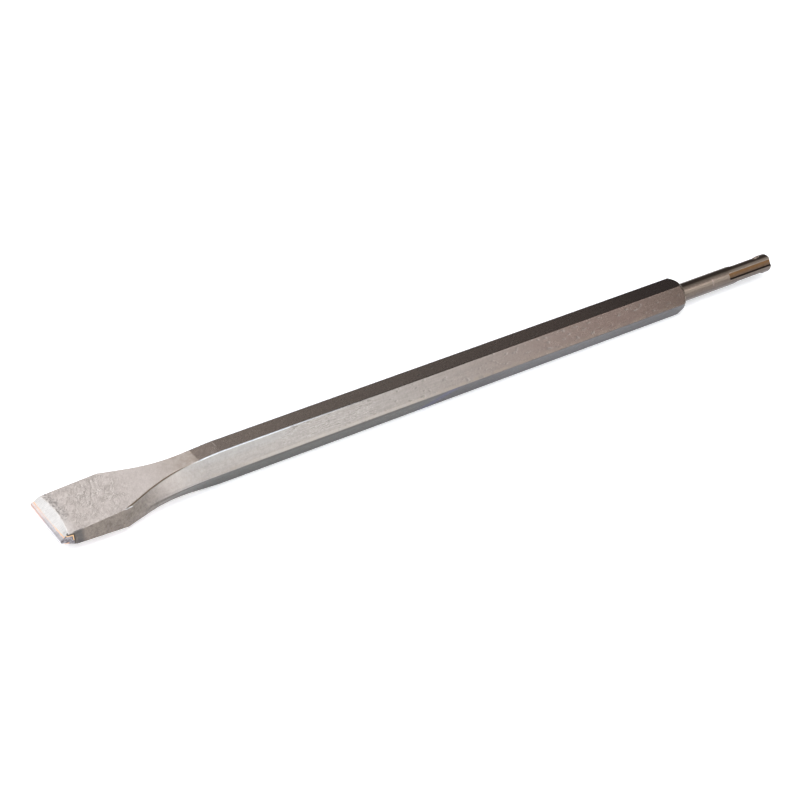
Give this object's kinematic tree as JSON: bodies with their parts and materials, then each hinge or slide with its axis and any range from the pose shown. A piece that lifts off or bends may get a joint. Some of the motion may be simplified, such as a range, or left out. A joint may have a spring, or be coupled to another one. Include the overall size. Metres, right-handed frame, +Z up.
{
  "type": "flat chisel for a rotary hammer",
  "caption": "Forged flat chisel: hexagonal bar that flares into a wide bevelled blade, with a slotted round shank for a rotary hammer.",
  "frame": {"origin": "on the surface the bar lies on, under the middle of the chisel's length, with the bar's lowest flat at z = 0", "axes": "+X along the chisel from the cutting edge to the shank, +Y across the blade's width, +Z up, square to the blade's flat faces"},
  "size_m": [0.427, 0.0336, 0.0175],
  "materials": {
    "forged_steel": "dark forge oxide on the bar and shank, blasted grey blade, bare ground bevels"
  },
  "bodies": {
    "root": {"flat_chisel": "forged_steel"}
  },
  "joints": []
}
